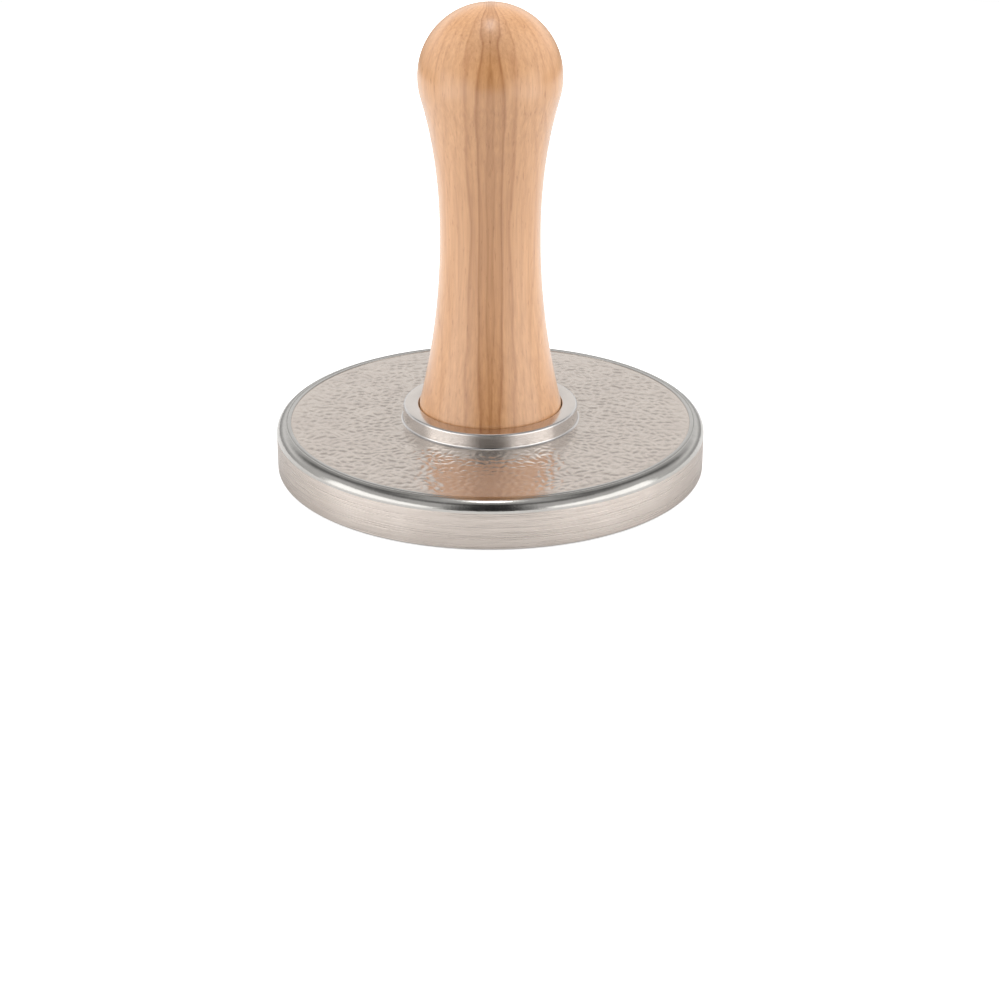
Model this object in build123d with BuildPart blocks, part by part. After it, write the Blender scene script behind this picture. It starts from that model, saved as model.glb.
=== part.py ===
from build123d import *
import os
from math import atan, cos, degrees, radians, sin, tan

# Cookie stamp standing on its face: +Z up, origin at the middle of the face's plane, millimetres.
# A plated shell holds a cast die with a daisy, and a turned wooden handle screws into the back of both.

# Overall, and the head
overall_height = 81.2
head_diameter = 76.0
head_thickness = 8.4
border_width = 2.6  # smooth border round the grained back
border_rise = 0.12  # the border stands this much above the grained back
back_edge_chamfer = 1.3
face_edge_chamfer = 0.35
rim_width = 2.2  # plain ring of the shell round the die

# Socket ring on the back, which takes the foot of the handle
ring_diameter = 31.0
ring_rise = 2.6  # above the border
ring_edge_chamfer = 0.3
socket_sink = 0.5  # floor of the socket below the grained back
socket_edge_chamfer = 0.25

# Die
die_thickness = 5.8
die_clearance = 0.05
die_back_chamfer = 0.4
spigot_diameter = 12.0  # boss on the back of the die, which centres it in the shell
spigot_clearance = 0.1
spigot_gap = 0.3  # the spigot ends this far below the floor of the socket

# Daisy, cut into the face
petal_count = 10
petal_start_angle = 26.0
petal_depth = 3.2
petal_tip_radius = 34.2
petal_root_radius = 4.4  # inside the moat, so that the hollows open into it
petal_wall_run = 2.6  # how far the walls lean inwards on their way to the floor
rib_width = 0.85
rib_crest_chamfer = 0.2
button_diameter = 6.8
button_base_diameter = 10.6
button_edge_chamfer = 0.3
moat_depth = 1.7
moat_floor_width = 0.3
moat_diameter = 11.8

# Handle
foot_diameter = 25.2
foot_clearance = 0.15
foot_chamfer = 0.4
foot_slope = -0.25  # change of radius with height where the foot leaves the ring
neck_diameter = 17.4
neck_above_ring = 29.3
knob_diameter = 24.4
knob_start_angle = 16.0  # the neck runs into the ball this far below its widest

# Screw and its fittings
stud_diameter = 5.9
stud_length = 20.0
stud_chamfer = 0.6
thread_clearance = 0.05
thread_skin = 1.0  # metal left between the blind thread and the button's face
stud_end_gap = 0.25
washer_diameter = 19.0
washer_thickness = 1.0
washer_clearance = 0.08
insert_diameter = 9.0
insert_length = 14.0
insert_flange_diameter = 12.5
insert_flange_thickness = 1.2
insert_groove_depth = 0.5
insert_groove_width = 3.0
insert_groove_level = 5.5  # above the insert's lower end
glue_line = 0.05
bore_spare = 1.0  # bore in the wood goes on this far past the insert

# Levels, radii and the wall's angle worked out from the above
head_radius = head_diameter / 2
border_radius = head_radius - border_width
recess_radius = head_radius - rim_width
die_radius = recess_radius - die_clearance
field_level = head_thickness - border_rise
ring_radius = ring_diameter / 2
ring_top = head_thickness + ring_rise
socket_floor = field_level - socket_sink
foot_radius = foot_diameter / 2
socket_radius = foot_radius + foot_clearance
spigot_radius = spigot_diameter / 2
spigot_top = socket_floor - spigot_gap
foot_level = socket_floor + washer_thickness
petal_wall_angle = degrees(atan(petal_wall_run / petal_depth))
knob_radius = knob_diameter / 2
knob_middle = overall_height - knob_radius
stud_radius = stud_diameter / 2
thread_radius = stud_radius + thread_clearance
stud_bottom = thread_skin + stud_end_gap
insert_radius = insert_diameter / 2
insert_flange_radius = insert_flange_diameter / 2

match_tolerance = 0.001


def round_edges(shape, radius, height):
    """Round edges of a turned shape at one radius and height."""
    circles = shape.edges().filter_by(GeomType.CIRCLE)
    return circles.filter_by(
        lambda edge: abs(edge.radius - radius) < match_tolerance
        and abs(edge.arc_center.Z - height) < match_tolerance
    )


# Backing shell: rim, back with its border, and the socket ring
with BuildPart() as backing_shell:
    with BuildSketch(Plane.XZ):
        with BuildLine():
            Polyline(
                (recess_radius, 0),
                (head_radius, 0),
                (head_radius, head_thickness),
                (border_radius, head_thickness),
                (border_radius, field_level),
                (ring_radius, field_level),
                (ring_radius, ring_top),
                (socket_radius, ring_top),
                (socket_radius, socket_floor),
                (spigot_radius + spigot_clearance, socket_floor),
                (spigot_radius + spigot_clearance, die_thickness),
                (recess_radius, die_thickness),
                close=True,
            )
        make_face()
    revolve(axis=Axis.Z)
    chamfer(round_edges(backing_shell.part, head_radius, head_thickness), back_edge_chamfer)
    chamfer(round_edges(backing_shell.part, ring_radius, ring_top), ring_edge_chamfer)
    chamfer(round_edges(backing_shell.part, head_radius, 0), face_edge_chamfer)
    chamfer(round_edges(backing_shell.part, socket_radius, ring_top), socket_edge_chamfer)

# One petal's hollow, a teardrop along +X with its sides half a rib away from the ribs' middle lines
with BuildPart() as petal:
    half_rib = rib_width / 2
    spread = radians(180 / petal_count)
    end_middle = (petal_tip_radius + half_rib) / (1 + sin(spread))
    end_radius = petal_tip_radius - end_middle
    touch_x = end_middle - end_radius * sin(spread)
    touch_y = end_radius * cos(spread)
    root_y = petal_root_radius * tan(spread) - half_rib / cos(spread)
    with BuildSketch(Plane.XY):
        with BuildLine():
            Line((petal_root_radius, -root_y), (touch_x, -touch_y))
            ThreePointArc((touch_x, -touch_y), (petal_tip_radius, 0), (touch_x, touch_y))
            Line((touch_x, touch_y), (petal_root_radius, root_y))
            Line((petal_root_radius, root_y), (petal_root_radius, -root_y))
        make_face()
    extrude(amount=petal_depth, taper=petal_wall_angle)

# Die: a disc with the daisy cut into its face and a threaded spigot on its back
with BuildPart() as die_insert:
    with BuildSketch(Plane.XY):
        Circle(die_radius)
    extrude(amount=die_thickness)
    with BuildSketch(Plane.XY.offset(die_thickness)):
        Circle(spigot_radius)
    extrude(amount=spigot_top - die_thickness)
    chamfer(round_edges(die_insert.part, die_radius, die_thickness), die_back_chamfer)
    with PolarLocations(0, petal_count, start_angle=petal_start_angle):
        add(petal.part, mode=Mode.SUBTRACT)
    face_edges = die_insert.part.faces().sort_by(Axis.Z)[0].edges()
    chamfer(face_edges - round_edges(die_insert.part, die_radius, 0), rib_crest_chamfer)
    # Button in the middle, with a moat round it that the petals run into
    with BuildSketch(Plane.XZ):
        with BuildLine():
            Polyline(
                (button_diameter / 2, 0),
                (button_base_diameter / 2, moat_depth),
                (button_base_diameter / 2 + moat_floor_width, moat_depth),
                (moat_diameter / 2, 0),
                close=True,
            )
        make_face()
    revolve(axis=Axis.Z, mode=Mode.SUBTRACT)
    chamfer(round_edges(die_insert.part, button_diameter / 2, 0), button_edge_chamfer)
    # Blind thread from the back
    with BuildSketch(Plane.XY.offset(thread_skin)):
        Circle(thread_radius)
    extrude(amount=spigot_top - thread_skin, mode=Mode.SUBTRACT)

# Washer between the socket's floor and the foot of the handle
with BuildPart() as sealing_washer:
    with BuildSketch(Plane.XY.offset(socket_floor)):
        Circle(washer_diameter / 2)
        Circle(stud_radius + washer_clearance, mode=Mode.SUBTRACT)
    extrude(amount=washer_thickness)

# Stud that joins handle and head
with BuildPart() as stud:
    with BuildSketch(Plane.XY.offset(stud_bottom)):
        Circle(stud_radius)
    extrude(amount=stud_length)
    for level in (stud_bottom, stud_bottom + stud_length):
        chamfer(round_edges(stud.part, stud_radius, level), stud_chamfer)

# Flanged threaded insert glued into the foot
with BuildPart() as threaded_insert:
    with BuildSketch(Plane.XY.offset(foot_level)):
        Circle(insert_radius)
    extrude(amount=insert_length)
    with BuildSketch(Plane.XY.offset(foot_level)):
        Circle(insert_flange_radius)
    extrude(amount=insert_flange_thickness)
    with BuildSketch(Plane.XY.offset(foot_level + insert_groove_level)):
        Circle(insert_radius)
        Circle(insert_radius - insert_groove_depth, mode=Mode.SUBTRACT)
    extrude(amount=insert_groove_width, mode=Mode.SUBTRACT)
    with BuildSketch(Plane.XY.offset(foot_level)):
        Circle(thread_radius)
    extrude(amount=insert_length, mode=Mode.SUBTRACT)

# Turned handle: straight foot, waisted neck, ball-shaped knob
with BuildPart() as wooden_handle:
    start_angle = radians(knob_start_angle)
    knob_start = (knob_radius * cos(start_angle), knob_middle - knob_radius * sin(start_angle))
    with BuildSketch(Plane.XZ):
        with BuildLine():
            Line((0, foot_level), (foot_radius, foot_level))
            Line((foot_radius, foot_level), (foot_radius, ring_top))
            Spline(
                (foot_radius, ring_top),
                (neck_diameter / 2, ring_top + neck_above_ring),
                knob_start,
                tangents=[(foot_slope, 1), (sin(start_angle), cos(start_angle))],
            )
            ThreePointArc(
                knob_start,
                (knob_radius * cos(radians(45)), knob_middle + knob_radius * sin(radians(45))),
                (0, knob_middle + knob_radius),
            )
            Line((0, knob_middle + knob_radius), (0, foot_level))
        make_face()
    revolve(axis=Axis.Z)
    chamfer(round_edges(wooden_handle.part, foot_radius, foot_level), foot_chamfer)
    with BuildSketch(Plane.XY.offset(foot_level)):
        Circle(insert_radius + glue_line)
    extrude(amount=insert_length + bore_spare, mode=Mode.SUBTRACT)
    with BuildSketch(Plane.XY.offset(foot_level)):
        Circle(insert_flange_radius + glue_line)
    extrude(amount=insert_flange_thickness + glue_line, mode=Mode.SUBTRACT)

# One file for each piece
backing_shell.part.label = "backing_shell"
die_insert.part.label = "die_insert"
sealing_washer.part.label = "sealing_washer"
stud.part.label = "stud"
threaded_insert.part.label = "threaded_insert"
wooden_handle.part.label = "wooden_handle"

os.makedirs("parts", exist_ok=True)
for piece in (backing_shell, die_insert, sealing_washer, stud, threaded_insert, wooden_handle):
    export_step(piece.part, f"parts/{piece.part.label}.step")
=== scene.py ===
import math

import bpy
import numpy as np
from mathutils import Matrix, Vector


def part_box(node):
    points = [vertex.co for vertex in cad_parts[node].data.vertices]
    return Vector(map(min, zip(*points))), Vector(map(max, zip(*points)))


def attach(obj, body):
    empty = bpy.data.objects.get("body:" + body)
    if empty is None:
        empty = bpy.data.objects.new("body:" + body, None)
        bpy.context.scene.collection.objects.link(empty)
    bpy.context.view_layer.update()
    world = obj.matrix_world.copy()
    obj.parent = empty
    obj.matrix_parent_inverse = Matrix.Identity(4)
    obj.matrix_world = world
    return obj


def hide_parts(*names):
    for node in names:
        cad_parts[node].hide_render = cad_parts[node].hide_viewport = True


# Looks of the cookie stamp, in metres: the solids' forms with their small radii, grain, thread and finish

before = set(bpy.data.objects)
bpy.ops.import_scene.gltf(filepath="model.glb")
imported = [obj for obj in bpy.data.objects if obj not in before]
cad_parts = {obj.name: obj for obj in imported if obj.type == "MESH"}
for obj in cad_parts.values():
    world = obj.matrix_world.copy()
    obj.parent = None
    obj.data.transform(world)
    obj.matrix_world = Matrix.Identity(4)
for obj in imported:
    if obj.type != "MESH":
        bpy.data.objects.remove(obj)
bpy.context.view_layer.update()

MM = 0.001

# Sizes read from the solids
shell_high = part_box("backing_shell")[1]
die_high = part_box("die_insert")[1]
handle_low, handle_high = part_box("wooden_handle")
stud_low, stud_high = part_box("stud")
flange_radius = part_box("threaded_insert")[1].x
head_radius = shell_high.x
ring_top = shell_high.z
die_radius = die_high.x
spigot_top = die_high.z
foot_radius = handle_high.x
foot_level = handle_low.z
handle_top = handle_high.z
stud_radius = stud_high.x

# Head
head_thickness = 8.4 * MM
border_width = 2.6 * MM
border_rise = 0.12 * MM
border_step_radius = 0.1 * MM
border_groove_place = 0.75 * MM  # outside the border's step
border_groove_depth = 0.06 * MM
border_groove_width = 0.25 * MM
back_edge_radius = 1.9 * MM
face_edge_radius = 0.3 * MM
recess_radius = 35.8 * MM
recess_edge_row = 0.15 * MM  # a row of points this far outside the recess
ring_radius = 15.5 * MM
ring_edge_radius = 0.4 * MM
ring_root_radius = 0.35 * MM
socket_radius = foot_radius + 0.15 * MM
socket_sink = 0.5 * MM
socket_edge_radius = 0.2 * MM
spigot_radius = 6.0 * MM
spigot_bore_radius = 6.1 * MM
die_thickness = 5.8 * MM
die_back_chamfer = 0.4 * MM
head_segments = 640
field_level = head_thickness - border_rise
socket_floor = field_level - socket_sink
border_radius = head_radius - border_width

# Leather grain of the back
grain_cell = 1.45 * MM
grain_stretch = 1.2  # of a cell along Y
grain_height = 0.08 * MM
grain_jitter = 0.44  # share of a cell by which a pebble's middle strays
grain_wave = 0.30  # share of a cell by which the rows of pebbles meander
crease_width = 0.62  # share of a cell over which a pebble rises from its crease
crease_patch = 1.5 * MM  # creases are deep in some patches and shallow in others
crease_gain = 1.3
crease_least = 0.25
swell_patch = 1.0 * MM
swell_share = 0.35  # of the grain's height
ring_fade = 0.5 * MM
border_fade = 1.3 * MM
grain_overlap = 0.05 * MM  # first row of the grain inside the border's step
grain_rows = 90
grain_seed = 11

# Daisy
petal_count = 10
petal_start_angle = math.radians(26)
petal_depth = 3.2 * MM
petal_tip_radius = 34.2 * MM
petal_root_radius = 4.4 * MM
petal_root_width = 0.24 * MM
petal_side_run = 2.1 * MM
petal_tip_run = 3.3 * MM
petal_floor_fillet = 0.75 * MM
fillet_reach = 0.35  # share of the fillet's radius by which it passes the wall's run
rib_width = 0.85 * MM
crest_radius = 0.24 * MM
petal_end_points = 72
petal_side_points = 7
crest_steps = 6
fillet_points = 8
button_radius = 3.4 * MM
button_base_radius = 5.3 * MM
button_edge_radius = 0.5 * MM
moat_floor_width = 0.3 * MM
moat_radius = 5.9 * MM
moat_depth = 1.7 * MM
moat_segments = 160
cutter_overrun = 0.6 * MM
die_smooth_angle = math.radians(24)

# Handle
foot_chamfer = 0.4 * MM
foot_slope = -0.25  # change of radius with height where the foot leaves the ring
neck_radius = 8.7 * MM
neck_above_ring = 29.3 * MM
knob_radius = 12.2 * MM
knob_start_angle = math.radians(16)
knob_middle = handle_top - knob_radius
flange_recess = 1.25 * MM
flange_gap = 0.05 * MM
insert_bore_radius = 4.55 * MM
insert_bore_length = 15.0 * MM
handle_segments = 320

# Thread of the stud
thread_pitch = 1.0 * MM
thread_depth = 0.61 * MM
thread_blend = 0.6 * MM
thread_flank_gain = 1.25
thread_root_cut = 0.12
thread_segments = 48
thread_rows_per_pitch = 12
blind_thread_radius = 3.0 * MM
blind_thread_bottom = 1.0 * MM


def arc(middle, radius, start, end, count):
    """Points of an arc in the (radius, height) plane, angles in degrees from the outward direction."""
    angles = np.radians(np.linspace(start, end, count + 1))
    return [(middle[0] + radius * math.cos(a), middle[1] + radius * math.sin(a)) for a in angles]


def mesh_object(name, vertices, faces, smooth_angle=30):
    """A mesh piece with smooth faces and sharp edges above an angle in degrees."""
    mesh = bpy.data.meshes.new(name)
    mesh.from_pydata([tuple(v) for v in vertices], [], faces)
    mesh.validate()
    mesh.shade_smooth()
    mesh.set_sharp_from_angle(angle=math.radians(smooth_angle))
    piece = bpy.data.objects.new(name, mesh)
    bpy.context.scene.collection.objects.link(piece)
    return piece


def ring_faces(rows, segments, closed):
    """Quads between rows of a turned mesh; closed joins the last row to the first."""
    quads = []
    for row in range(rows if closed else rows - 1):
        low, high = row * segments, ((row + 1) % rows) * segments
        for i in range(segments):
            j = (i + 1) % segments
            quads.append((low + i, low + j, high + j, high + i))
    return quads


def tube_faces(rows, segments):
    """Quads between rows of a mesh, and a cap on its first and last row."""
    last = (rows - 1) * segments
    faces = ring_faces(rows, segments, closed=False)
    faces.append(tuple(reversed(range(segments))))
    faces.append(tuple(range(last, last + segments)))
    return faces


def turned_points(profile, segments):
    """Points of a profile turned about Z, row by row."""
    angles = np.arange(segments) * 2 * math.pi / segments
    profile = np.array(profile)
    x = profile[:, :1] * np.cos(angles)
    y = profile[:, :1] * np.sin(angles)
    z = np.repeat(profile[:, 1:], segments, axis=1)
    return np.stack([x, y, z], axis=-1).reshape(-1, 3)


def turned_solid(name, profile, segments, smooth_angle=30):
    """A profile that starts and ends on the axis, turned into a closed solid."""
    inner = profile[1:-1]
    points = turned_points(inner, segments)
    quads = ring_faces(len(inner), segments, closed=False)
    first, last = len(points), len(points) + 1
    top_row = (len(inner) - 1) * segments
    for i in range(segments):
        j = (i + 1) % segments
        quads.append((first, j, i))
        quads.append((last, top_row + i, top_row + j))
    ends = [(0, 0, profile[0][1]), (0, 0, profile[-1][1])]
    return mesh_object(name, np.vstack([points, ends]), quads, smooth_angle)


def soft_share(share):
    """A share from 0 to 1 with level ends."""
    return share * share * (3 - 2 * share)


def lattice_noise(x, y, cell, rng):
    """Soft random values from 0 to 1 over a square lattice."""
    half = int(head_radius / cell) + 2
    values = rng.uniform(0, 1, (2 * half, 2 * half))
    u, v = x / cell + half, y / cell + half
    low_u, low_v = np.floor(u).astype(int), np.floor(v).astype(int)
    share_u, share_v = soft_share(u - low_u), soft_share(v - low_v)
    first = values[low_u, low_v] * (1 - share_u) + values[low_u + 1, low_v] * share_u
    second = values[low_u, low_v + 1] * (1 - share_u) + values[low_u + 1, low_v + 1] * share_u
    return first * (1 - share_v) + second * share_v


def meander(along, across, length, bend, bend_length):
    """Sideways shift of the rows of pebbles: a wave along them that bends across them."""
    return grain_wave * grain_cell * np.sin(along / length + bend * np.sin(across / bend_length))


def leather(x, y):
    """Height from 0 to 1 of a leather grain: rounded pebbles with narrow, broken creases between them."""
    rng = np.random.default_rng(grain_seed)
    size = 2 * (int(head_radius / grain_cell) + 3)
    jitter = rng.uniform(-grain_jitter, grain_jitter, (size, size, 2))
    shift_x = meander(y, x, length=1.1 * MM, bend=1.3, bend_length=2.3 * MM)
    shift_y = meander(x, y, length=1.3 * MM, bend=1.7, bend_length=1.9 * MM)
    u = (x + shift_x) / grain_cell
    v = (y + shift_y) / (grain_stretch * grain_cell)
    cell_u, cell_v = np.floor(u).astype(int), np.floor(v).astype(int)
    nearest = np.full(x.shape, np.inf)
    second = np.full(x.shape, np.inf)
    for du in (-1, 0, 1):
        for dv in (-1, 0, 1):
            shift = jitter[(cell_u + du) % size, (cell_v + dv) % size]
            away_u = cell_u + du + 0.5 + shift[..., 0] - u
            away_v = cell_v + dv + 0.5 + shift[..., 1] - v
            away = np.hypot(away_u, away_v)
            second = np.minimum(second, np.maximum(nearest, away))
            nearest = np.minimum(nearest, away)
    crease = 1 - soft_share(np.clip((second - nearest) / crease_width, 0, 1))
    depth = np.clip(crease_gain * lattice_noise(x, y, crease_patch, rng) + crease_least, 0, 1)
    swell = lattice_noise(x, y, swell_patch, rng)
    return 1 - crease * depth - swell_share * swell


# Backing shell
edge_middle = (head_radius - back_edge_radius, head_thickness - back_edge_radius)
groove_start = border_radius + border_groove_place
step_middle = (border_radius + border_step_radius, head_thickness - border_step_radius)
ring_edge_middle = (ring_radius - ring_edge_radius, ring_top - ring_edge_radius)
grain_start = ring_radius + ring_root_radius
ring_root_middle = (grain_start, field_level + ring_root_radius)
socket_edge_middle = (socket_radius + socket_edge_radius, ring_top - socket_edge_radius)
face_edge_middle = (head_radius - face_edge_radius, face_edge_radius)
outer_profile = (
    [(recess_radius, 0.0), (recess_radius + recess_edge_row, 0.0)]
    + arc(face_edge_middle, face_edge_radius, -90, 0, count=5)
    + arc(edge_middle, back_edge_radius, 0, 90, count=14)
    + [
        (groove_start + border_groove_width, head_thickness),
        (groove_start + border_groove_width / 2, head_thickness - border_groove_depth),
        (groove_start, head_thickness),
    ]
    + arc(step_middle, border_step_radius, 90, 180, count=5)
    + [(border_radius, field_level)]
)
grain_radii = np.linspace(border_radius - grain_overlap, grain_start, grain_rows)
grain_profile = [(r, field_level) for r in grain_radii]
inner_profile = (
    arc(ring_root_middle, ring_root_radius, 270, 180, count=6)[1:]
    + arc(ring_edge_middle, ring_edge_radius, 0, 90, count=7)
    + arc(socket_edge_middle, socket_edge_radius, 90, 180, count=4)
    + [
        (socket_radius, socket_floor),
        (spigot_bore_radius, socket_floor),
        (spigot_bore_radius, die_thickness),
        (recess_radius, die_thickness),
    ]
)
shell_profile = outer_profile + grain_profile + inner_profile
shell_points = turned_points(shell_profile, head_segments)
grain_first = len(outer_profile) * head_segments
grain_last = grain_first + grain_rows * head_segments
grain = shell_points[grain_first:grain_last]
grain_r = np.hypot(grain[:, 0], grain[:, 1])
fade_out = np.clip((border_radius - grain_r) / border_fade, 0, 1)
fade_in = np.clip((grain_r - grain_start) / ring_fade, 0, 1)
grain[:, 2] += fade_out * fade_in * grain_height * leather(grain[:, 0], grain[:, 1])
shell_faces = ring_faces(len(shell_profile), head_segments, closed=True)
shell_piece = mesh_object("shell_with_grain", shell_points, shell_faces, smooth_angle=40)

# Die: a turned blank, cut by ten petals and the moat
blank_profile = [
    (0, 0),
    (die_radius, 0),
    (die_radius, die_thickness - die_back_chamfer),
    (die_radius - die_back_chamfer, die_thickness),
    (spigot_radius, die_thickness),
    (spigot_radius, spigot_top),
    (blind_thread_radius, spigot_top),
    (blind_thread_radius, blind_thread_bottom),
    (0, blind_thread_bottom),
]
die_piece = turned_solid("die_with_daisy", blank_profile, head_segments // 2)


def petal_outline(inset, tip):
    """Teardrop along +X out to radius tip, its sides an inset away from the ribs' middle lines."""
    spread = math.pi / petal_count
    end_middle = (tip + inset) / (1 + math.sin(spread))
    end_radius = tip - end_middle
    half_turn = math.pi / 2 + spread
    meeting = (petal_root_width / 2 + inset / math.cos(spread)) / math.tan(spread)
    root = max(petal_root_radius, meeting)
    root_y = root * math.tan(spread) - inset / math.cos(spread)
    angles = np.linspace(-half_turn, half_turn, petal_end_points)
    end = np.stack([end_middle + end_radius * np.cos(angles), end_radius * np.sin(angles)], axis=1)
    side = np.linspace(0, 1, petal_side_points + 2)[1:-1, None]
    lower = np.array([root, -root_y]) * (1 - side) + end[0] * side
    upper = end[-1] * (1 - side) + np.array([root, root_y]) * side
    return np.vstack([[root, -root_y], lower, end, upper, [root, root_y]])


def wall_levels():
    """Inset and depth at each level of a hollow: over the face, crest, slope and floor fillet."""
    levels = [(-crest_radius, -cutter_overrun), (-crest_radius, 0.0)]
    wall_angle = math.atan2(petal_depth, petal_side_run)
    for a in np.linspace(0, wall_angle, crest_steps + 1)[1:]:
        levels.append((crest_radius * math.sin(a) - crest_radius, crest_radius * (1 - math.cos(a))))
    for a in np.linspace(wall_angle, 0, fillet_points):
        inset = petal_side_run + petal_floor_fillet * (fillet_reach - math.sin(a))
        levels.append((inset, petal_depth - petal_floor_fillet * (1 - math.cos(a))))
    return levels


petal_levels = []
for inset, depth in wall_levels():
    tip = petal_tip_radius - petal_tip_run * (inset / petal_side_run)
    outline = petal_outline(rib_width / 2 + inset, tip)
    petal_levels.append(np.column_stack([outline, np.full(len(outline), depth)]))
petal_points = np.vstack(petal_levels)
petal_faces = tube_faces(len(petal_levels), len(petal_levels[0]))
daisy_points, daisy_faces = [], []
for petal in range(petal_count):
    turn = petal_start_angle + petal * 2 * math.pi / petal_count
    cos_t, sin_t = math.cos(turn), math.sin(turn)
    first = len(daisy_points)
    for x, y, z in petal_points:
        daisy_points.append((x * cos_t - y * sin_t, x * sin_t + y * cos_t, z))
    daisy_faces += [tuple(first + i for i in face) for face in petal_faces]
petal_cutter = mesh_object("petal_cutter", daisy_points, daisy_faces)

flank_angle = math.degrees(math.atan2(moat_depth, button_base_radius - button_radius))
edge_start = button_radius - button_edge_radius * math.tan(math.radians(flank_angle / 2))
moat_profile = (
    [(edge_start, -cutter_overrun)]
    + arc((edge_start, button_edge_radius), button_edge_radius, -90, flank_angle - 90, count=6)
    + [(button_base_radius, moat_depth), (button_base_radius + moat_floor_width, moat_depth)]
    + [(moat_radius, 0.0), (moat_radius, -cutter_overrun)]
)
moat_quads = ring_faces(len(moat_profile), moat_segments, closed=True)
moat_cutter = mesh_object(
    "moat_cutter",
    turned_points(moat_profile, moat_segments),
    [tuple(reversed(quad)) for quad in moat_quads],
)
for cutter in (petal_cutter, moat_cutter):
    cut = die_piece.modifiers.new("cut", "BOOLEAN")
    cut.operation = "DIFFERENCE"
    cut.solver = "EXACT"
    cut.object = cutter
depsgraph = bpy.context.evaluated_depsgraph_get()
cut_mesh = bpy.data.meshes.new_from_object(die_piece.evaluated_get(depsgraph))
die_piece.modifiers.clear()
die_piece.data = cut_mesh
cut_mesh.shade_smooth()
cut_mesh.set_sharp_from_angle(angle=die_smooth_angle)
for cutter in (petal_cutter, moat_cutter):
    bpy.data.objects.remove(cutter)


# Handle
def waist(knots, end_slope, count):
    """Profile through three knots: two cubics that share their slope and bend at the middle one."""
    first, second = knots[1][1] - knots[0][1], knots[2][1] - knots[1][1]
    rises = 3 * ((knots[1][0] - knots[0][0]) / first**2 + (knots[2][0] - knots[1][0]) / second**2)
    middle_slope = (rises - foot_slope / first - end_slope / second) / (2 / first + 2 / second)
    slopes = (foot_slope, middle_slope, end_slope)
    points = []
    for span in (0, 1):
        (r0, z0), (r1, z1) = knots[span], knots[span + 1]
        length = z1 - z0
        for t in np.linspace(0, 1, count, endpoint=False):
            radius = (
                (2 * t**3 - 3 * t**2 + 1) * r0
                + (t**3 - 2 * t**2 + t) * length * slopes[span]
                + (3 * t**2 - 2 * t**3) * r1
                + (t**3 - t**2) * length * slopes[span + 1]
            )
            points.append((radius, z0 + t * length))
    return points


knob_start = (
    knob_radius * math.cos(knob_start_angle),
    knob_middle - knob_radius * math.sin(knob_start_angle),
)
waist_knots = [(foot_radius, ring_top), (neck_radius, ring_top + neck_above_ring), knob_start]
handle_profile = (
    [
        (0, foot_level + insert_bore_length),
        (insert_bore_radius, foot_level + insert_bore_length),
        (insert_bore_radius, foot_level + flange_recess),
        (flange_radius + flange_gap, foot_level + flange_recess),
        (flange_radius + flange_gap, foot_level),
        (foot_radius - foot_chamfer, foot_level),
        (foot_radius, foot_level + foot_chamfer),
    ]
    + waist(waist_knots, math.tan(knob_start_angle), count=40)
    + arc((0, knob_middle), knob_radius, -math.degrees(knob_start_angle), 90, count=60)
)
handle_piece = turned_solid("turned_handle", handle_profile, handle_segments, smooth_angle=25)


# Stud with its thread
def thread_radius_at(turn_share, z):
    """Radius at a share of a turn and a height: a 60 degree ridge that runs out at both ends."""
    phase = ((z - stud_low.z) / thread_pitch - turn_share) % 1.0
    ridge = np.clip(abs(phase - 0.5) * 2 * thread_flank_gain - thread_root_cut, 0, 1)
    ends = np.clip(np.minimum(z - stud_low.z, stud_high.z - z) / thread_blend, 0, 1)
    return stud_radius - thread_depth * (1 - ridge * ends)


row_count = int(round((stud_high.z - stud_low.z) / thread_pitch * thread_rows_per_pitch)) + 1
row_heights = np.linspace(stud_low.z, stud_high.z, row_count)
turn_shares = np.arange(thread_segments) / thread_segments
share_grid, height_grid = np.meshgrid(turn_shares, row_heights)
radius_grid = thread_radius_at(share_grid, height_grid)
stud_x = radius_grid * np.cos(share_grid * 2 * math.pi)
stud_y = radius_grid * np.sin(share_grid * 2 * math.pi)
stud_points = np.stack([stud_x, stud_y, height_grid], axis=-1).reshape(-1, 3)
stud_faces = tube_faces(row_count, thread_segments)
stud_piece = mesh_object("threaded_stud", stud_points, stud_faces, smooth_angle=50)


# Materials
noise_low, noise_high = 0.3, 0.7  # most values of a noise lie between these
cloud_scale = (0.12, 0.12, 0.12)


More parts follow.
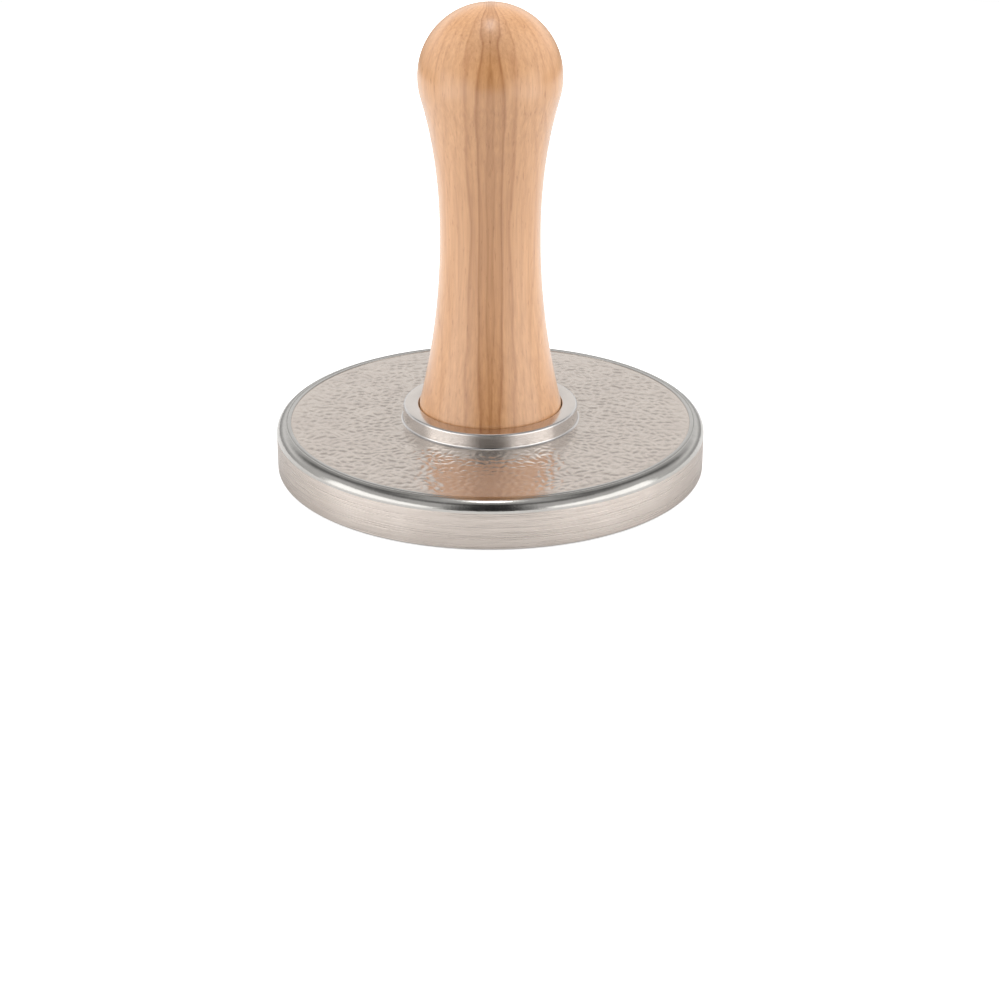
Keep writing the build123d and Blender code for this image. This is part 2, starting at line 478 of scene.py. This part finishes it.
class Nodes:
    """The nodes of a material or the world, with the helpers that add to them."""

    def __init__(self, owner):
        owner.use_nodes = True
        self.owner = owner
        self.nodes = owner.node_tree.nodes
        self.links = owner.node_tree.links
        self.shader = self.nodes.get("Principled BSDF")

    def add(self, kind, **settings):
        """A new node with its settings."""
        node = self.nodes.new(kind)
        for name, value in settings.items():
            setattr(node, name, value)
        return node

    def feed(self, socket, value):
        """Gives a socket another socket's value, or a value of its own."""
        if isinstance(value, bpy.types.NodeSocket):
            self.links.new(value, socket)
        else:
            socket.default_value = value

    def math(self, operation, *values):
        """A math node of sockets or numbers."""
        node = self.add("ShaderNodeMath", operation=operation)
        for socket, value in zip(node.inputs, values):
            self.feed(socket, value)
        return node.outputs["Value"]

    def place(self, scale=(1, 1, 1)):
        """The piece's own coordinates in millimetres, stretched by a scale along each axis."""
        mapping = self.add("ShaderNodeMapping")
        mapping.inputs["Scale"].default_value = tuple(s / MM for s in scale)
        self.feed(mapping.inputs["Vector"], self.add("ShaderNodeTexCoord").outputs["Object"])
        return mapping.outputs["Vector"]

    def axes(self, vector):
        """A vector's three parts."""
        node = self.add("ShaderNodeSeparateXYZ")
        self.feed(node.inputs["Vector"], vector)
        return node.outputs

    def length(self, vector):
        """A vector's length."""
        node = self.add("ShaderNodeVectorMath", operation="LENGTH")
        self.feed(node.inputs[0], vector)
        return node.outputs["Value"]

    def noise(self, vector, detail=3.0, roughness=0.55, scale=1.0):
        """A noise value at a vector."""
        node = self.add("ShaderNodeTexNoise")
        node.inputs["Scale"].default_value = scale
        node.inputs["Detail"].default_value = detail
        node.inputs["Roughness"].default_value = roughness
        self.feed(node.inputs["Vector"], vector)
        return node.outputs["Fac"]

    def ramp(self, value, *stops):
        """Colours along a value: stops of (place, colour)."""
        node = self.add("ShaderNodeValToRGB")
        elements = node.color_ramp.elements
        elements[0].position, elements[0].color = stops[0][0], (*stops[0][1], 1)
        elements[1].position, elements[1].color = stops[-1][0], (*stops[-1][1], 1)
        for stop, colour in stops[1:-1]:
            element = elements.new(stop)
            element.color = (*colour, 1)
        self.feed(node.inputs["Fac"], value)
        return node.outputs["Color"]

    def remap(self, value, low, high, new_low, new_high, interpolation="LINEAR"):
        """A value's range turned into another, clamped."""
        node = self.add("ShaderNodeMapRange", interpolation_type=interpolation)
        limits = {"From Min": low, "From Max": high, "To Min": new_low, "To Max": new_high}
        for name, number in limits.items():
            node.inputs[name].default_value = number
        self.feed(node.inputs["Value"], value)
        return node.outputs["Result"]

    def soft(self, value, low, high, new_low, new_high):
        """A value's range turned into another with soft ends."""
        return self.remap(value, low, high, new_low, new_high, "SMOOTHSTEP")

    def blend(self, kind, first, second, share):
        """Two colours joined by a share."""
        node = self.add("ShaderNodeMix", data_type="RGBA", blend_type=kind)
        self.feed(node.inputs["Factor"], share)
        self.feed(node.inputs["A"], first)
        self.feed(node.inputs["B"], second)
        return node.outputs["Result"]

    def bump(self, height, distance, before=None):
        """A bump with a height in metres, on top of one made before."""
        node = self.add("ShaderNodeBump")
        node.inputs["Strength"].default_value = 1.0
        node.inputs["Distance"].default_value = distance
        self.feed(node.inputs["Height"], height)
        if before:
            self.feed(node.inputs["Normal"], before)
        return node.outputs["Normal"]

    def surface(self, colour, roughness, normal):
        """Feeds the shader's colour, roughness and normal."""
        self.feed(self.shader.inputs["Base Color"], colour)
        self.feed(self.shader.inputs["Roughness"], roughness)
        self.feed(self.shader.inputs["Normal"], normal)


def metal(name, low_colour, high_colour, roughness, streaks, texture, metallic=1.0, edge_tint=1.0):
    """Metal with two close tints, uneven gloss, streaks at one scale and texture at a finer one.

    Streaks and texture are each a scale and a bump height in millimetres.
    """
    made = Nodes(bpy.data.materials.new(name))
    made.shader.inputs["Metallic"].default_value = metallic
    made.shader.inputs["Specular Tint"].default_value = (edge_tint, edge_tint, edge_tint, 1)
    streak_noise = made.noise(made.place(streaks[0]))
    cloud = made.noise(made.place(cloud_scale), detail=4.0)
    fine_noise = made.noise(made.place(texture[0]), detail=5.0)
    streak_bump = made.bump(streak_noise, streaks[1] * MM)
    made.surface(
        made.ramp(cloud, (noise_low, low_colour), (noise_high, high_colour)),
        made.remap(streak_noise, noise_low, noise_high, *roughness),
        made.bump(fine_noise, texture[1] * MM, streak_bump),
    )
    return made.owner


nickel_grained = metal(
    "nickel_grained",
    (0.585, 0.518, 0.464),
    (0.635, 0.568, 0.508),
    roughness=(0.17, 0.24),
    streaks=((0.9, 0.9, 0.9), 0.035),
    texture=((3.2, 3.2, 3.2), 0.008),
    metallic=0.86,
)
nickel_smooth = metal(
    "nickel_smooth",
    (0.50, 0.485, 0.46),
    (0.56, 0.545, 0.52),
    roughness=(0.14, 0.20),
    streaks=((0.5, 0.5, 0.5), 0.02),
    texture=((4.0, 4.0, 4.0), 0.006),
)
nickel_turned = metal(
    "nickel_turned",
    (0.655, 0.583, 0.53),
    (0.715, 0.643, 0.59),
    roughness=(0.24, 0.34),
    streaks=((0.03, 0.03, 6.0), 0.13),
    texture=((0.3, 0.3, 2.2), 0.012),
    edge_tint=0.7,
)
nickel_polished = metal(
    "nickel_polished",
    (0.695, 0.637, 0.590),
    (0.745, 0.687, 0.640),
    roughness=(0.16, 0.22),
    streaks=((0.15, 0.15, 2.5), 0.006),
    texture=((3.0, 3.0, 3.0), 0.003),
)
# The polished finish, a little rougher, with a lighter neutral tint that is a painted reflection on the
# ring's wall
nickel_ring_wall_painted_light = metal(
    "nickel_ring_wall_painted_light",
    (0.75, 0.72, 0.70),
    (0.81, 0.78, 0.76),
    roughness=(0.19, 0.27),
    streaks=((0.15, 0.15, 2.5), 0.006),
    texture=((3.0, 3.0, 3.0), 0.003),
)
steel = metal(
    "zinc_steel",
    (0.56, 0.56, 0.57),
    (0.64, 0.64, 0.65),
    roughness=(0.28, 0.40),
    streaks=((1.5, 1.5, 1.5), 0.004),
    texture=((5.0, 5.0, 5.0), 0.002),
)
brass = metal(
    "brass",
    (0.74, 0.56, 0.26),
    (0.82, 0.65, 0.33),
    roughness=(0.25, 0.36),
    streaks=((0.3, 0.3, 4.0), 0.004),
    texture=((5.0, 5.0, 5.0), 0.002),
)

# Cast die, in millimetres: mottled grey, with the crests of its ribs lighter, partly from wear and partly
# a painted highlight
wear_and_highlight_depths = (0.02, 0.20)
wear_and_highlight_radii = (22.0, 29.0)
button_radii = (3.2, 5.0)
button_wear_and_highlight = 0.35
cast = Nodes(bpy.data.materials.new("cast_metal"))
cast.shader.inputs["Metallic"].default_value = 1.0
mottle = cast.noise(cast.place((0.35, 0.35, 0.35)), detail=6.0, roughness=0.62)
speckle = cast.noise(cast.place((2.6, 2.6, 2.6)), detail=4.0, roughness=0.6)
from_axis = cast.length(cast.place((1, 1, 0)))
near_face = cast.remap(cast.axes(cast.place())["Z"], *wear_and_highlight_depths, 1.0, 0.0)
among_ribs = cast.remap(from_axis, *wear_and_highlight_radii, 1.0, 0.0)
off_button = cast.remap(from_axis, *button_radii, button_wear_and_highlight, 1.0)
# Face-level crests among the ribs, and the button less so, get a lighter grey: partly polished wear,
# partly a painted highlight
wear_and_highlight = cast.math("MULTIPLY", near_face, cast.math("MULTIPLY", among_ribs, off_button))
cast_grey = cast.ramp(
    mottle,
    (0.32, (0.56, 0.56, 0.55)),
    (0.5, (0.68, 0.68, 0.675)),
    (0.66, (0.77, 0.77, 0.765)),
)
wear_and_highlight_grey = cast.ramp(mottle, (noise_low, (0.84, 0.84, 0.835)), (noise_high, (0.95, 0.95, 0.945)))
cast.surface(
    cast.blend("MIX", cast_grey, wear_and_highlight_grey, wear_and_highlight),
    cast.remap(mottle, noise_low, noise_high, 0.42, 0.28),
    cast.bump(speckle, 0.012 * MM, cast.bump(mottle, 0.05 * MM)),
)

# Beech, in millimetres: growth rings drawn together toward the knob's top, fibres and short dark flecks
ring_spacing = 1.75
ring_wobble = 5.0
wobble_scale = 0.16
wobble_stretch = 0.12
most_share_up = 0.97
ring_weights = (0.45, 1.0)
heart_and_shade_reach = 5.0
heart_span = (2.5, 6.5)
weight_off_heart = 0.42
fleck_share = 0.7
beech = Nodes(bpy.data.materials.new("beech"))
wood_place = beech.axes(beech.place())
above_middle = beech.math("SUBTRACT", wood_place["Z"], knob_middle / MM)
share_up = beech.math("MAXIMUM", beech.math("DIVIDE", above_middle, knob_radius / MM), 0.0)
share_up = beech.math("MINIMUM", share_up, most_share_up)
narrowing = beech.math("SQRT", beech.math("SUBTRACT", 1.0, beech.math("MULTIPLY", share_up, share_up)))
from_middle = beech.math("DIVIDE", beech.math("ABSOLUTE", wood_place["X"]), narrowing)
ring_place = beech.add("ShaderNodeCombineXYZ")
beech.feed(ring_place.inputs["X"], from_middle)
beech.feed(ring_place.inputs["Y"], wood_place["Y"])
beech.feed(ring_place.inputs["Z"], beech.math("MULTIPLY", wood_place["Z"], wobble_stretch))
wobble = beech.noise(ring_place.outputs["Vector"], detail=2.0, roughness=0.5, scale=wobble_scale)
wobbled_middle = beech.math("MULTIPLY_ADD", wobble, ring_wobble, from_middle)
ring_phase = beech.math("DIVIDE", wobbled_middle, ring_spacing)
ring_number = beech.add("ShaderNodeTexWhiteNoise", noise_dimensions="1D")
beech.feed(ring_number.inputs["W"], beech.math("FLOOR", ring_phase))
ring_weight = beech.remap(ring_number.outputs["Value"], 0.0, 1.0, *ring_weights)
heart_weight = beech.remap(from_middle, *heart_span, 1.0, weight_off_heart)
ring_share = beech.math("MULTIPLY", ring_weight, heart_weight)
rings = beech.ramp(
    beech.math("FRACT", ring_phase),
    (0.0, (1.0, 1.0, 1.0)),
    (0.30, (0.99, 0.985, 0.98)),
    (0.62, (0.88, 0.83, 0.76)),
    (0.82, (0.68, 0.55, 0.43)),
    (1.0, (1.0, 1.0, 1.0)),
)
wood_cloud = beech.noise(beech.place((0.10, 0.10, 0.03)), detail=3.0, roughness=0.5)
fibres = beech.noise(beech.place((2.4, 2.4, 0.06)), detail=4.0, roughness=0.6)
flecks = beech.noise(beech.place((3.0, 1.4, 0.45)), detail=2.0, roughness=0.5)
wood_ground = beech.ramp(
    wood_cloud,
    (noise_low, (0.660, 0.342, 0.152)),
    (noise_high, (0.725, 0.388, 0.181)),
)
# Darker towards X = 0, the middle as seen from the front and back: partly heartwood, partly painted shade
heart_and_shade_share = beech.math("MULTIPLY", from_middle, 1 / heart_and_shade_reach)
heart_and_shade_tint = beech.ramp(heart_and_shade_share, (0.0, (0.82, 0.76, 0.67)), (0.9, (1.0, 1.0, 1.0)))
fibre_tint = beech.ramp(fibres, (0.28, (0.84, 0.79, 0.73)), (0.66, (1.03, 1.03, 1.03)))
fleck_tint = beech.ramp(flecks, (0.62, (1.0, 1.0, 1.0)), (0.74, (0.74, 0.64, 0.54)))
wood_colour = beech.blend("MULTIPLY", wood_ground, heart_and_shade_tint, 1.0)
wood_colour = beech.blend("MULTIPLY", wood_colour, rings, ring_share)
wood_colour = beech.blend("MULTIPLY", wood_colour, fibre_tint, 1.0)
wood_colour = beech.blend("MULTIPLY", wood_colour, fleck_tint, fleck_share)
beech.surface(
    wood_colour,
    beech.remap(fibres, noise_low, noise_high, 0.36, 0.46),
    beech.bump(fibres, 0.02 * MM),
)
beech.shader.inputs["Coat Weight"].default_value = 1.0
beech.shader.inputs["Coat IOR"].default_value = 1.6
beech.shader.inputs["Coat Roughness"].default_value = 0.26

# Rubber of the washer
rubber = Nodes(bpy.data.materials.new("rubber"))
rubber_noise = rubber.noise(rubber.place((2.0, 2.0, 2.0)), detail=4.0)
rubber.surface(
    rubber.ramp(rubber_noise, (noise_low, (0.018, 0.017, 0.016)), (noise_high, (0.032, 0.030, 0.028))),
    rubber.remap(rubber_noise, noise_low, noise_high, 0.55, 0.72),
    rubber.bump(rubber_noise, 0.01 * MM),
)

# Finishes of the shell; the ring wall's lighter tint is a painted reflection
shell_finishes = [nickel_grained, nickel_smooth, nickel_turned, nickel_polished, nickel_ring_wall_painted_light]
GRAINED, SMOOTH, TURNED, POLISHED, RING_WALL = range(len(shell_finishes))
# The wall's finish carries its painted reflection onto this share of the rounding
ring_edge_share = 0.9  # of the ring's outer rounding that has the wall's finish
ring_wall_start = ring_radius - ring_edge_share * ring_edge_radius
outer_wall_start = head_radius - 0.05 * MM


def shell_zone(radius, height):
    """Which finish of the shell a face at a radius and height has."""
    if ring_wall_start < radius < grain_start:
        return RING_WALL
    if radius < grain_start or height < face_edge_radius:
        return POLISHED
    if radius < border_radius and height > socket_floor:
        return GRAINED
    if radius > outer_wall_start and height < head_thickness - back_edge_radius:
        return TURNED
    return SMOOTH


def assign(piece, materials, choose=None):
    """Gives a piece its materials, each face by the choose function of its middle's radius and height."""
    piece.data.materials.clear()
    for material in materials:
        piece.data.materials.append(material)
    if choose:
        for face in piece.data.polygons:
            middle = face.center
            face.material_index = choose(math.hypot(middle.x, middle.y), middle.z)


assign(shell_piece, shell_finishes, shell_zone)
assign(die_piece, [cast.owner])
assign(handle_piece, [beech.owner])
assign(stud_piece, [steel])
assign(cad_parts["threaded_insert"], [brass])
assign(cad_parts["sealing_washer"], [rubber.owner])

for piece, body, node, slot in (
    (shell_piece, "head", "backing_shell", "plated_shell"),
    (die_piece, "head", "die_insert", "cast_die"),
    (handle_piece, "handle", "wooden_handle", "handle_wood"),
    (stud_piece, "handle", "stud", "steel"),
):
    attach(piece, body)
    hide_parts(node)

# Floor: pale, keeps the shadow, open under the head and clear from beneath, to let light onto the face
floor_radius = 0.47
floor_drop = 0.1 * MM
floor_hole = head_radius - 0.6 * MM
floor_segments = 128
floor_albedo = 0.62
glow_near = 0.55
glow_start, glow_full = 0.1, 0.35  # the glow rises over these distances from the middle
floor_profile = [(floor_hole, -floor_drop), (floor_radius, -floor_drop)]
floor_points = turned_points(floor_profile, floor_segments)
floor = mesh_object("floor", floor_points, ring_faces(2, floor_segments, closed=False))
floor.data.flip_normals()
pale = Nodes(bpy.data.materials.new("pale_floor"))
pale.nodes.remove(pale.shader)
diffuse = pale.add("ShaderNodeBsdfDiffuse")
diffuse.inputs["Color"].default_value = (floor_albedo, floor_albedo, floor_albedo, 1)
distance = pale.length(pale.add("ShaderNodeTexCoord").outputs["Object"])
glow_level = pale.remap(distance, glow_start, glow_full, glow_near, 1.0)
camera_ray = pale.add("ShaderNodeLightPath").outputs["Is Camera Ray"]
glow = pale.add("ShaderNodeEmission")
glow.inputs["Color"].default_value = (1, 1, 1, 1)
pale.feed(glow.inputs["Strength"], pale.math("MULTIPLY", camera_ray, glow_level))
both = pale.add("ShaderNodeAddShader")
pale.feed(both.inputs[0], diffuse.outputs["BSDF"])
pale.feed(both.inputs[1], glow.outputs["Emission"])
side_seen = pale.add("ShaderNodeMixShader")
pale.feed(side_seen.inputs["Fac"], pale.add("ShaderNodeNewGeometry").outputs["Backfacing"])
pale.feed(side_seen.inputs[1], both.outputs["Shader"])
pale.feed(side_seen.inputs[2], pale.add("ShaderNodeBsdfTransparent").outputs["BSDF"])
pale.feed(pale.nodes["Material Output"].inputs["Surface"], side_seen.outputs["Shader"])
assign(floor, [pale.owner])


# World: white for the camera, a studio with dark parts where metal mirrors it, soft light otherwise
def sine(degrees):
    """Height of a direction at an elevation."""
    return math.sin(math.radians(degrees))


def cosine(degrees):
    """Backward share of a level direction at an angle from the back."""
    return math.cos(math.radians(degrees))


sky = Nodes(bpy.data.worlds.new("studio"))
bpy.context.scene.world = sky.owner
background = sky.nodes["Background"]
background.inputs["Color"].default_value = (1, 1, 1, 1)
least_level_share = 0.001  # keeps the division away from zero
soft_level_around = 2.05
soft_level_above = 2.0
direction = sky.axes(sky.add("ShaderNodeTexCoord").outputs["Generated"])
up = direction["Z"]
level_share = sky.math("SQRT", sky.math("SUBTRACT", 1.0, sky.math("MULTIPLY", up, up)))
backward = sky.math("DIVIDE", direction["Y"], sky.math("MAXIMUM", level_share, least_level_share))

# Mirrored: dark slot in front, glow at the sides, bright band over a grey horizon at the back, dim above
slot = sky.soft(backward, -cosine(7), -cosine(29), 0.04, 1.0)
behind = sky.soft(backward, cosine(72), cosine(42), 0.0, 1.0)
horizon = sky.soft(up, sine(8), sine(19), 0.46, 1.0)
back_height = sky.soft(up, sine(18), sine(38), 0.0, 1.0)
back_high = sky.soft(backward, cosine(40), cosine(18), 0.12, 0.42)
back_low = sky.math("MULTIPLY", horizon, sky.math("SUBTRACT", 1.0, back_height))
back_glow = sky.math("ADD", back_low, sky.math("MULTIPLY", back_height, back_high))
side_glow = sky.soft(up, sine(46), sine(60), 0.65, 0.15)
from_side = sky.math("MULTIPLY", sky.math("SUBTRACT", 1.0, behind), side_glow)
around = sky.math("ADD", sky.math("MULTIPLY", behind, back_glow), from_side)
zenith = sky.soft(up, sine(62), sine(77), 0.0, 0.35)
mirror = sky.math("ADD", sky.math("MULTIPLY", slot, around), zenith)

# Soft light: none from low in front, even from everywhere else above the floor
high_share = sky.soft(up, sine(35), sine(58), 0.0, 1.0)
soft_around = sky.soft(backward, -cosine(25), -cosine(80), 0.0, soft_level_around)
soft_low = sky.math("MULTIPLY", soft_around, sky.math("SUBTRACT", 1.0, high_share))
soft_light = sky.math("ADD", soft_low, sky.math("MULTIPLY", high_share, soft_level_above))

ray = sky.add("ShaderNodeLightPath").outputs
mirrored = sky.math("MAXIMUM", ray["Is Glossy Ray"], ray["Is Transmission Ray"])
lit = sky.math("MULTIPLY", sky.math("SUBTRACT", 1.0, mirrored), soft_light)
overhead = sky.math("ADD", sky.math("MULTIPLY", mirrored, mirror), lit)
is_above = sky.math("GREATER_THAN", up, 0.0)
beneath = sky.soft(up, -sine(62), -sine(25), 1.0, 0.15)
upper = sky.math("MULTIPLY", overhead, is_above)
lower = sky.math("MULTIPLY", beneath, sky.math("SUBTRACT", 1.0, is_above))
studio = sky.math("ADD", upper, lower)
sky.feed(background.inputs["Strength"], sky.math("MAXIMUM", studio, ray["Is Camera Ray"]))


# Lamps: a low panel at each side and a small one above
def area_light(name, location, target, width, height, radiance):
    """A soft panel of one radiance that faces a target."""
    data = bpy.data.lights.new(name, "AREA")
    data.shape = "RECTANGLE"
    data.size, data.size_y = width, height
    data.energy = radiance * math.pi * width * height
    light = bpy.data.objects.new(name, data)
    light.location = location
    light.rotation_euler = (Vector(target) - Vector(location)).to_track_quat("-Z", "Y").to_euler()
    bpy.context.scene.collection.objects.link(light)


panel_distance = 0.17
panel_y = -0.175
panel_width, panel_height = 0.31, 0.09
panel_radiance = 1.2
panel_target = (0, panel_y, panel_height / 2)
for name, side in (("left_panel", -1), ("right_panel", 1)):
    place = (side * panel_distance, panel_y, panel_height / 2)
    area_light(name, place, panel_target, panel_width, panel_height, panel_radiance)
area_light(
    "top_panel",
    location=(0, 0.08, 0.75),
    target=(0, 0, 0.04),
    width=0.09,
    height=0.24,
    radiance=4.8,
)

# Camera at the photograph's place: a fit to the head's edges, the ring and the handle's outline
camera_distance = 337.6 * MM
camera_height = 144.5 * MM
camera_pitch = math.radians(24.34)
focal_pixels = 2038.3
image_pixels = 1000
object_column = 490.3
camera_data = bpy.data.cameras.new("camera")
camera_data.sensor_width = 36.0
camera_data.lens = focal_pixels / image_pixels * camera_data.sensor_width
camera_data.shift_x = 0.5 - object_column / image_pixels
camera_data.clip_start = 0.01
camera = bpy.data.objects.new("camera", camera_data)
camera.location = (0, -camera_distance, camera_height)
forward = Vector((0, math.cos(camera_pitch), -math.sin(camera_pitch)))
camera.rotation_euler = forward.to_track_quat("-Z", "Y").to_euler()
bpy.context.scene.collection.objects.link(camera)
bpy.context.scene.camera = camera
bpy.context.scene.view_settings.view_transform = "Standard"
